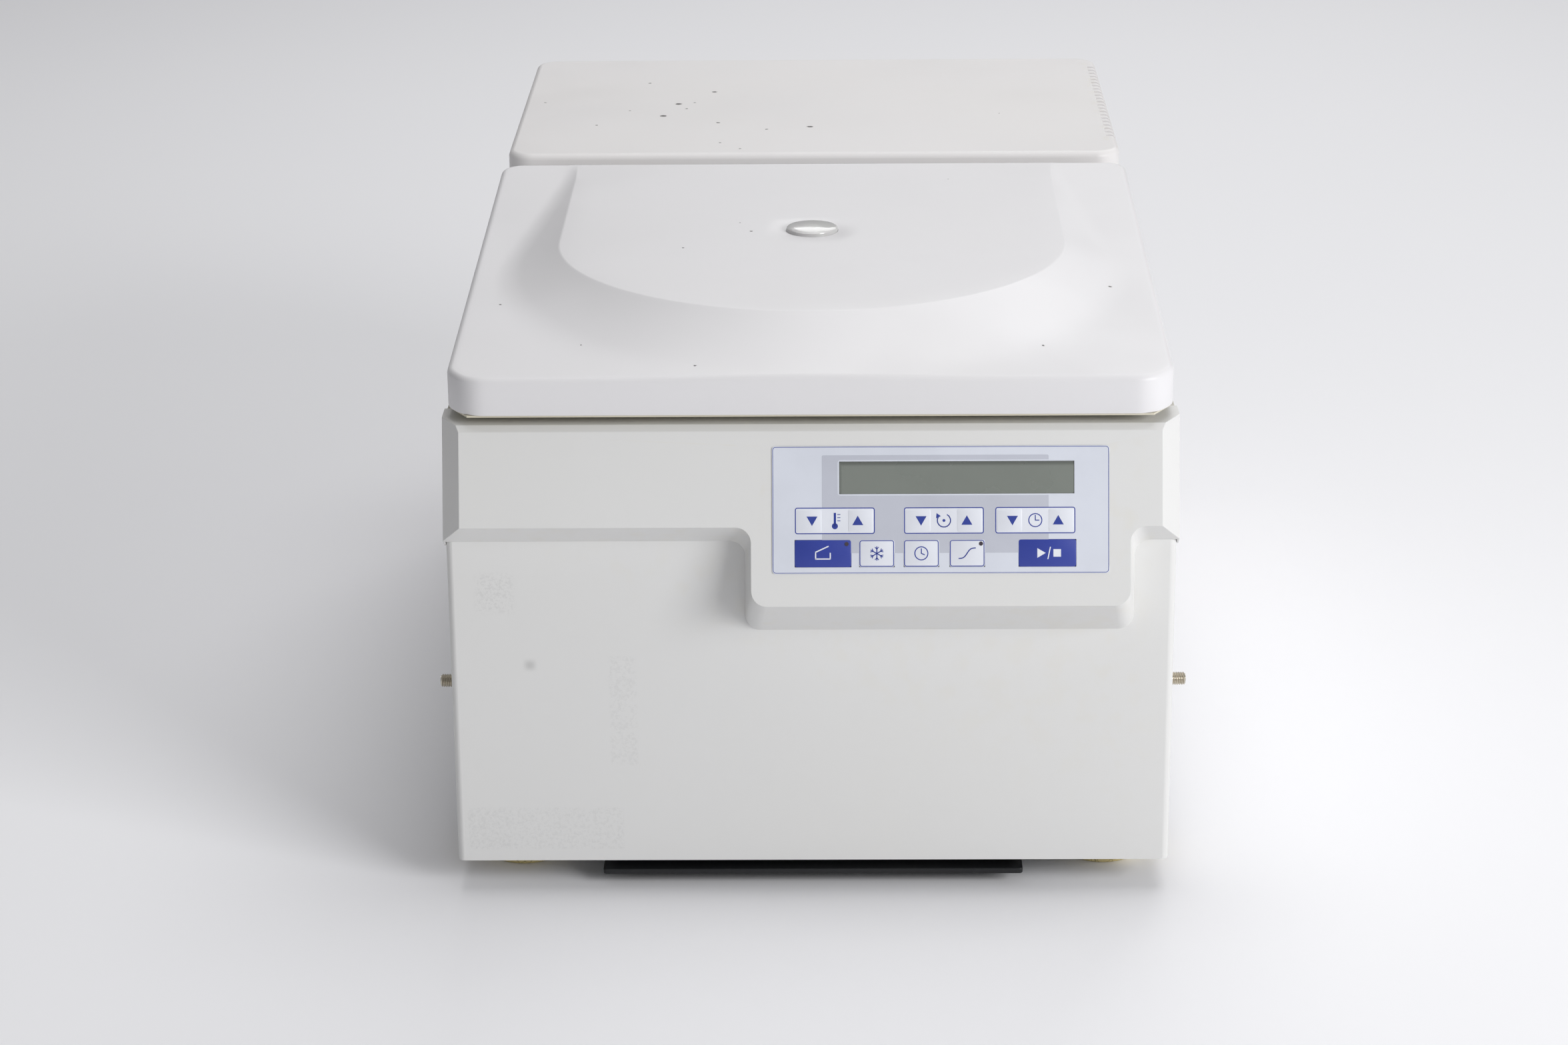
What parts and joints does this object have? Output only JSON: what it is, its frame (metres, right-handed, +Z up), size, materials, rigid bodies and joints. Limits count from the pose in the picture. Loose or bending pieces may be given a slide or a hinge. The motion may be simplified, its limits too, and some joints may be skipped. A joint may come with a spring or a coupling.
{
  "type": "refrigerated benchtop centrifuge",
  "caption": "Low bench centrifuge with a hinged lid over a cooled rotor chamber, a sloping key panel at the front and a louvred cooling unit behind.",
  "frame": {"origin": "on the bench under the middle of the machine", "axes": "+Z up, +Y towards the back, +X to the right of someone facing the key panel"},
  "size_m": [0.3236, 0.542, 0.2464],
  "materials": {
    "case_paint": "satin white paint",
    "fascia_plastic": "fine-grained moulded plastic",
    "lid_plastic": "fine-grained moulded plastic",
    "liner_plastic": "slightly yellowed plastic",
    "foam": "moulded foam",
    "pan_steel": "zinc plated",
    "bowl_steel": "brushed stainless steel",
    "deck_plastic": "satin moulded plastic",
    "copper": "drawn copper tube",
    "black_rubber": "matt black rubber",
    "foot_rubber": "aged beige rubber",
    "hose_plastic": "milky hose",
    "motor_aluminium": "cast and plain",
    "rotor_aluminium": "dark anodised",
    "black_paint": "black enamel",
    "black_plastic": "matt black plastic",
    "clear_glass": "clear polished",
    "foil": "satin printed foil",
    "key_white": "satin white key field",
    "key_blue": "satin blue key field",
    "display": "grey-green display",
    "module_metal": "pressed steel frame",
    "board_green": "coated circuit board"
  },
  "bodies": {
    "frame": {"back_panel": "case_paint", "base_pan": "pan_steel", "chamber_bowl": "bowl_steel", "chamber_foam": "foam", "chamber_gasket": "black_rubber", "compressor": "black_paint", "compressor_grommets": "black_rubber", "condenser": "motor_aluminium", "control_board": "board_green", "display_module": "module_metal", "display_window": "display", "drain_hose": "hose_plastic", "evaporator_coil": "copper", "fan_frame": "black_plastic", "foot_screws": "bowl_steel", "front_fascia": "fascia_plastic", "front_housing": "case_paint", "hinge_brackets": "pan_steel", "hinge_pins": "bowl_steel", "keypad_foil": "foil", "latch_housing": "black_plastic", "latch_motor": "black_plastic", "mains_inlet": "black_plastic", "motor_body": "motor_aluminium", "motor_mounts": "black_rubber", "motor_plate": "pan_steel", "power_board": "board_green", "rear_cover": "case_paint", "refrigerant_lines": "copper", "rubber_feet": "foot_rubber", "shaft_boot": "black_rubber", "side_studs": "bowl_steel", "switch_frame": "black_plastic", "top_deck": "deck_plastic", "tray_rails": "pan_steel"},
    "lid": {"lid_shell": "lid_plastic", "lid_liner": "liner_plastic", "lid_foam": "foam", "view_glass": "clear_glass", "inner_pane": "clear_glass", "lid_striker": "pan_steel"},
    "rotor": {"rotor_body": "rotor_aluminium", "rotor_nut": "rotor_aluminium", "motor_shaft": "bowl_steel"},
    "fan": {"fan_impeller": "black_plastic"},
    "tray": {"drip_tray": "black_plastic"},
    "latch": {"latch_bolt": "bowl_steel"},
    "rocker": {"switch_rocker": "black_plastic"},
    "temperature_down_button": {"temperature_down_key": "key_white"},
    "temperature_up_button": {"temperature_up_key": "key_white"},
    "speed_down_button": {"speed_down_key": "key_white"},
    "speed_up_button": {"speed_up_key": "key_white"},
    "time_down_button": {"time_down_key": "key_white"},
    "time_up_button": {"time_up_key": "key_white"},
    "open_button": {"open_key": "key_blue"},
    "fast_cool_button": {"fast_cool_key": "key_white"},
    "short_spin_button": {"short_spin_key": "key_white"},
    "soft_start_button": {"soft_start_key": "key_white"},
    "start_stop_button": {"start_stop_key": "key_blue"}
  },
  "joints": [
    {"name": "lid_hinge", "type": "hinge", "parent": "frame", "child": "lid", "pos_m": [0, 0.038, 0.2289], "axis": [-1, 0, 0], "range_deg": [0, 78]},
    {"name": "rotor_spin", "type": "hinge", "parent": "frame", "child": "rotor", "pos_m": [0, -0.071, 0.1345], "axis": [0, 0, 1], "continuous": true},
    {"name": "fan_spin", "type": "hinge", "parent": "frame", "child": "fan", "pos_m": [0.09275, 0.17, 0.132], "axis": [1, 0, 0], "continuous": true},
    {"name": "tray_slide", "type": "slide", "parent": "frame", "child": "tray", "axis": [0, -1, 0], "range_m": [0, 0.15]},
    {"name": "latch_slide", "type": "slide", "parent": "frame", "child": "latch", "axis": [1, 0, 0], "range_m": [0, 0.011]},
    {"name": "mains_rocker", "type": "hinge", "parent": "frame", "child": "rocker", "pos_m": [-0.092, 0.2625, 0.1], "axis": [-1, 0, 0], "range_deg": [0, 16]},
    {"name": "temperature_down_press", "type": "slide", "parent": "frame", "child": "temperature_down_button", "axis": [0, 0.9568, -0.2907], "range_m": [0, 0.0004], "stiffness_N_per_m": 2000, "springref_m": -0.0002},
    {"name": "temperature_up_press", "type": "slide", "parent": "frame", "child": "temperature_up_button", "axis": [0, 0.9568, -0.2907], "range_m": [0, 0.0004], "stiffness_N_per_m": 2000, "springref_m": -0.0002},
    {"name": "speed_down_press", "type": "slide", "parent": "frame", "child": "speed_down_button", "axis": [0, 0.9568, -0.2907], "range_m": [0, 0.0004], "stiffness_N_per_m": 2000, "springref_m": -0.0002},
    {"name": "speed_up_press", "type": "slide", "parent": "frame", "child": "speed_up_button", "axis": [0, 0.9568, -0.2907], "range_m": [0, 0.0004], "stiffness_N_per_m": 2000, "springref_m": -0.0002},
    {"name": "time_down_press", "type": "slide", "parent": "frame", "child": "time_down_button", "axis": [0, 0.9568, -0.2907], "range_m": [0, 0.0004], "stiffness_N_per_m": 2000, "springref_m": -0.0002},
    {"name": "time_up_press", "type": "slide", "parent": "frame", "child": "time_up_button", "axis": [0, 0.9568, -0.2907], "range_m": [0, 0.0004], "stiffness_N_per_m": 2000, "springref_m": -0.0002},
    {"name": "open_press", "type": "slide", "parent": "frame", "child": "open_button", "axis": [0, 0.9568, -0.2907], "range_m": [0, 0.0004], "stiffness_N_per_m": 2000, "springref_m": -0.0002},
    {"name": "fast_cool_press", "type": "slide", "parent": "frame", "child": "fast_cool_button", "axis": [0, 0.9568, -0.2907], "range_m": [0, 0.0004], "stiffness_N_per_m": 2000, "springref_m": -0.0002},
    {"name": "short_spin_press", "type": "slide", "parent": "frame", "child": "short_spin_button", "axis": [0, 0.9568, -0.2907], "range_m": [0, 0.0004], "stiffness_N_per_m": 2000, "springref_m": -0.0002},
    {"name": "soft_start_press", "type": "slide", "parent": "frame", "child": "soft_start_button", "axis": [0, 0.9568, -0.2907], "range_m": [0, 0.0004], "stiffness_N_per_m": 2000, "springref_m": -0.0002},
    {"name": "start_stop_press", "type": "slide", "parent": "frame", "child": "start_stop_button", "axis": [0, 0.9568, -0.2907], "range_m": [0, 0.0004], "stiffness_N_per_m": 2000, "springref_m": -0.0002}
  ]
}
